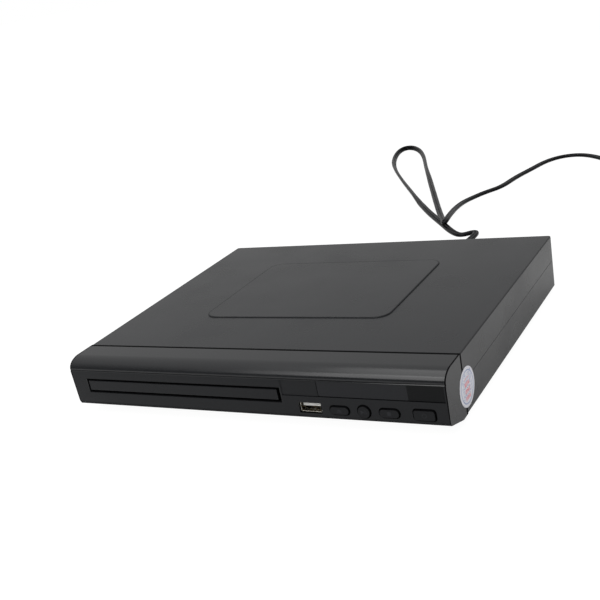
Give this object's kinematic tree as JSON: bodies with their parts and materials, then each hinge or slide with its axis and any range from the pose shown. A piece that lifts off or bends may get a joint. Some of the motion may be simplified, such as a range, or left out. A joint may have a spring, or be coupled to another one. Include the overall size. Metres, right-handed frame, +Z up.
{
  "type": "disc player",
  "caption": "Flat table-top disc player with a motor-driven sliding tray, front keys, display strip, front data socket and mains cord.",
  "frame": {"origin": "centre of the case's footprint, keys and rear sockets included, on the surface it stands on", "axes": "+X to the right seen from the front, +Y to the rear, +Z up"},
  "size_m": [0.4326, 0.6742, 0.0386],
  "materials": {
    "shell_plastic": "gloss, fine moulded surface",
    "panel_plastic": "gloss",
    "tray_plastic": "satin",
    "smoked_window": "smoked, gloss",
    "key_plastic": "satin",
    "loader_plastic": "satin",
    "gear_plastic": "natural acetal",
    "white_plastic": "satin",
    "steel_sheet": "zinc plated",
    "steel_rod": "ground",
    "screw_steel": "black oxide",
    "magnet": "nickel plated",
    "die_cast": "as cast",
    "black_rubber": "matt",
    "lens_clear": "polished",
    "circuit_board": "solder mask",
    "paper_board": "phenolic paper",
    "chip_plastic": "moulded",
    "ferrite": "sintered",
    "can_sleeve": "shrink sleeve",
    "flat_cable": "satin",
    "cord_cover": "satin",
    "nickel": "plated",
    "collar_plastic": "gloss",
    "sticker_paper": "printed foil",
    "switch_metal": "satin"
  },
  "bodies": {
    "case": {"top_cover": "shell_plastic", "bottom_case": "shell_plastic", "front_bezel": "panel_plastic", "display_lens": "smoked_window", "loader_frame": "loader_plastic", "clamp_bridge": "steel_sheet", "loading_motor": "steel_sheet", "drive_belt": "black_rubber", "front_board": "paper_board", "tact_switches": "switch_metal", "display_module": "chip_plastic", "ir_receiver": "chip_plastic", "usb_shell": "nickel", "usb_tongue": "white_plastic", "main_board": "circuit_board", "board_chips": "chip_plastic", "board_sockets": "white_plastic", "av_jack_block": "chip_plastic", "av_jack_barrels": "nickel", "av_jack_collars": "collar_plastic", "power_board": "paper_board", "transformer": "ferrite", "capacitors": "can_sleeve", "mains_leads": "cord_cover", "cord_bushing": "cord_cover", "power_cord": "cord_cover", "plug_body": "cord_cover", "plug_blades": "nickel", "rubber_feet": "black_rubber", "case_screws": "screw_steel", "loader_screws": "screw_steel", "board_screws": "screw_steel", "side_sticker": "sticker_paper", "front_cable": "flat_cable"},
    "tray": {"disc_tray": "tray_plastic", "tray_door": "panel_plastic"},
    "gear_drive": {"drive_gear": "gear_plastic"},
    "gear_pulley": {"pulley_gear": "gear_plastic"},
    "motor_rotor": {"motor_pulley": "white_plastic", "motor_shaft": "steel_rod"},
    "clamper": {"clamper_pad": "white_plastic", "clamper_magnet": "magnet", "clamper_cap": "white_plastic"},
    "deck": {"lift_frame": "loader_plastic", "traverse_plate": "steel_sheet", "deck_dampers": "black_rubber", "deck_screws": "screw_steel", "spindle_motor": "steel_sheet", "guide_rods": "steel_rod", "sled_motor": "steel_sheet"},
    "cam_slider": {"lift_slider": "white_plastic"},
    "disc_seat": {"turntable": "loader_plastic", "spindle_shaft": "steel_rod"},
    "sled": {"pickup_sled": "die_cast", "pickup_lens": "lens_clear"},
    "screw_shaft": {"lead_screw": "steel_rod"},
    "key_eject": {"eject_button": "key_plastic"},
    "key_play": {"play_button": "key_plastic"},
    "key_stop": {"stop_button": "key_plastic"},
    "key_power": {"power_button": "key_plastic"}
  },
  "joints": [
    {"name": "tray_slide", "type": "slide", "parent": "case", "child": "tray", "axis": [0, -1, 0], "range_m": [0, 0.126]},
    {"name": "drive_gear_spin", "type": "hinge", "parent": "case", "child": "gear_drive", "pos_m": [0.0036, -0.0822, 0.017], "axis": [0, 0, 1], "range_deg": [-826, 5]},
    {"name": "pulley_gear_spin", "type": "hinge", "parent": "case", "child": "gear_pulley", "pos_m": [-0.017, -0.0851, 0.017], "axis": [0, 0, 1], "range_deg": [-5, 2740]},
    {"name": "motor_spin", "type": "hinge", "parent": "case", "child": "motor_rotor", "pos_m": [-0.044, -0.0772, 0.017], "axis": [0, 0, 1], "range_deg": [-5, 9502]},
    {"name": "deck_tilt", "type": "hinge", "parent": "case", "child": "deck", "pos_m": [-0.0436, 0.0628, 0.0126], "axis": [1, 0, 0], "range_deg": [0, 2]},
    {"name": "cam_slide", "type": "slide", "parent": "case", "child": "cam_slider", "axis": [1, 0, 0], "range_m": [0, 0.01601]},
    {"name": "disc_seat_spin", "type": "hinge", "parent": "deck", "child": "disc_seat", "pos_m": [-0.0436, -0.0382, 0.021], "axis": [0, 0, 1], "continuous": true},
    {"name": "clamper_spin", "type": "hinge", "parent": "case", "child": "clamper", "pos_m": [-0.0436, -0.0382, 0.028], "axis": [0, 0, 1], "continuous": true},
    {"name": "sled_slide", "type": "slide", "parent": "deck", "child": "sled", "axis": [0, 1, 0], "range_m": [0, 0.035]},
    {"name": "lead_screw_spin", "type": "hinge", "parent": "deck", "child": "screw_shaft", "pos_m": [-0.0166, 0.0028, 0.0164], "axis": [0, 1, 0], "range_deg": [-4205, 5]},
    {"name": "eject_press", "type": "slide", "parent": "case", "child": "key_eject", "axis": [0, 1, 0], "range_m": [0, 0.0005], "stiffness_N_per_m": 800},
    {"name": "play_press", "type": "slide", "parent": "case", "child": "key_play", "axis": [0, 1, 0], "range_m": [0, 0.0005], "stiffness_N_per_m": 800},
    {"name": "stop_press", "type": "slide", "parent": "case", "child": "key_stop", "axis": [0, 1, 0], "range_m": [0, 0.0005], "stiffness_N_per_m": 800},
    {"name": "power_press", "type": "slide", "parent": "case", "child": "key_power", "axis": [0, 1, 0], "range_m": [0, 0.0005], "stiffness_N_per_m": 800}
  ],
  "couplings": [
    {"joint": "drive_gear_spin", "follows": "tray_slide", "rad_per_m": -113.64},
    {"joint": "pulley_gear_spin", "follows": "tray_slide", "rad_per_m": 378.79},
    {"joint": "motor_spin", "follows": "tray_slide", "rad_per_m": 1315.4},
    {"joint": "cam_slide", "follows": "deck_tilt", "m_per_rad": 0.45837},
    {"joint": "clamper_spin", "follows": "disc_seat_spin", "ratio": 1},
    {"joint": "lead_screw_spin", "follows": "sled_slide", "rad_per_m": -2094.4}
  ]
}
